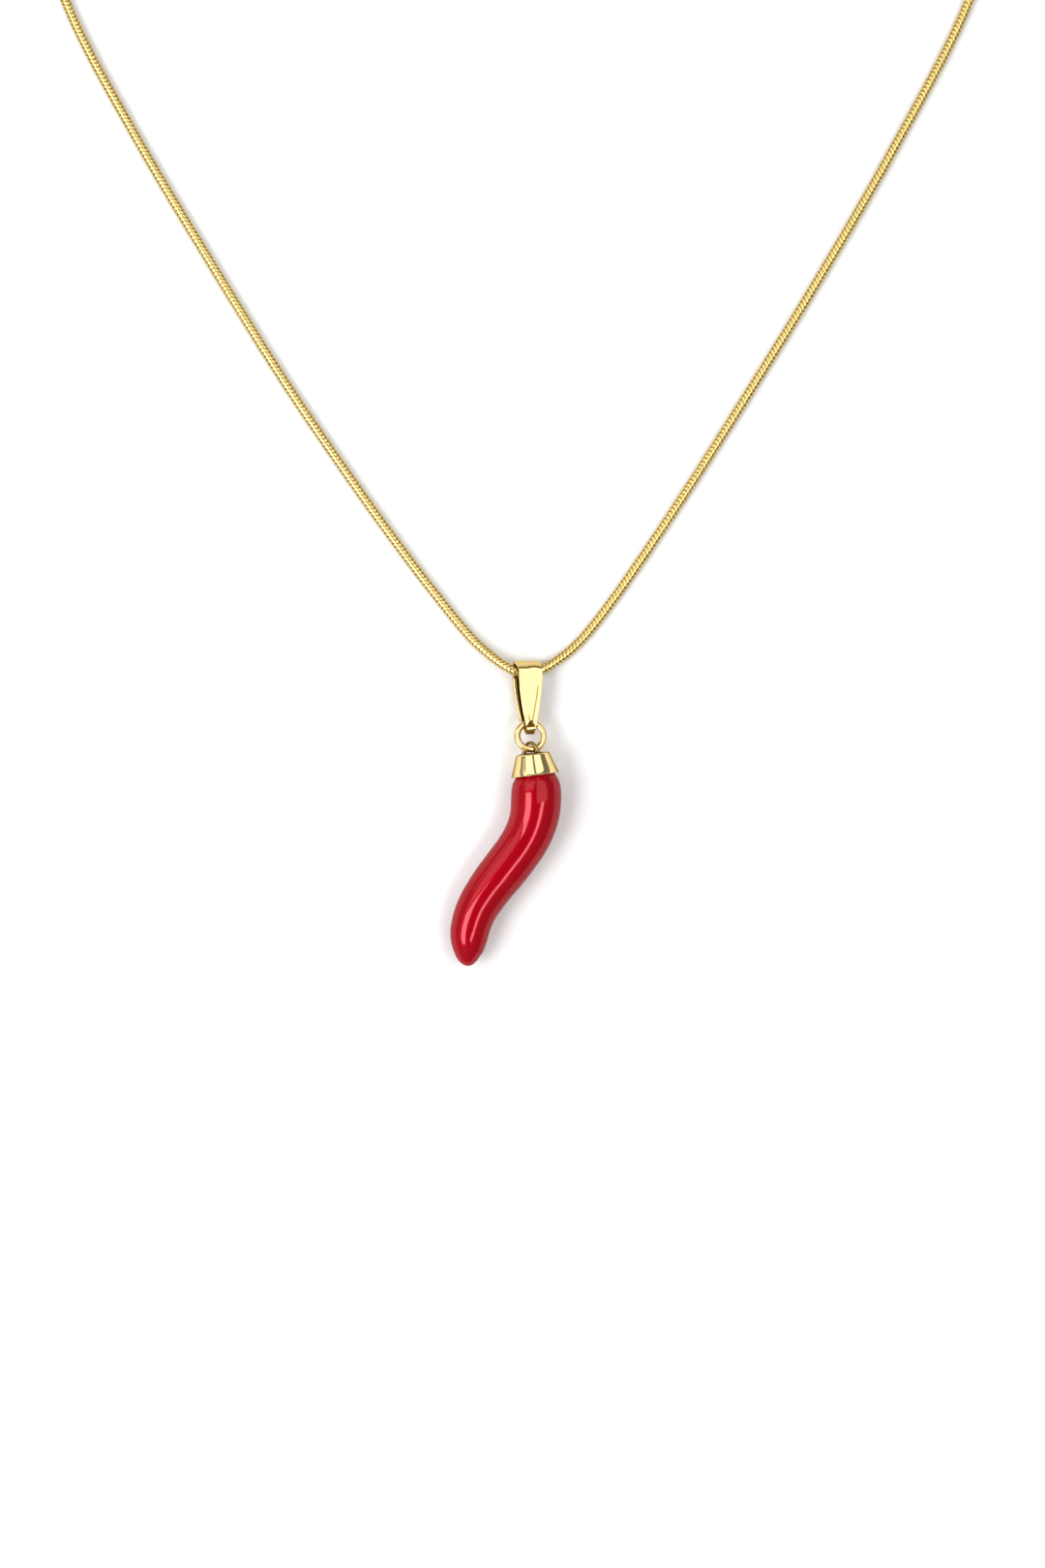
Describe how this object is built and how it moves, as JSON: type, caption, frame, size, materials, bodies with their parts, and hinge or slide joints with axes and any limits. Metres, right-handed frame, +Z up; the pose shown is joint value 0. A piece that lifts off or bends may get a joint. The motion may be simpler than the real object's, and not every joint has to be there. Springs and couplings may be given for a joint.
{
  "type": "chili pepper charm necklace",
  "caption": "Necklace laid flat: a glossy red S-curved pepper under a gold cone cap, on a jump ring and folded bail that a round snake chain runs through, closed by a barrel clasp.",
  "frame": {"origin": "middle of the necklace's whole outline, on the surface it lies on", "axes": "+Z up from the surface, +Y from the pendant towards the clasp, +X to the right seen from above"},
  "size_m": [0.1297, 0.2058, 0.0065],
  "materials": {
    "red_enamel": "glossy opaque red",
    "polished_gold": "polished pale yellow gold plating",
    "chain_gold": "polished grooved gold plating"
  },
  "bodies": {
    "root": {"pepper": "red_enamel", "bell_cap": "polished_gold", "jump_ring": "polished_gold", "bail": "polished_gold", "chain": "chain_gold", "clasp": "polished_gold"}
  },
  "joints": []
}
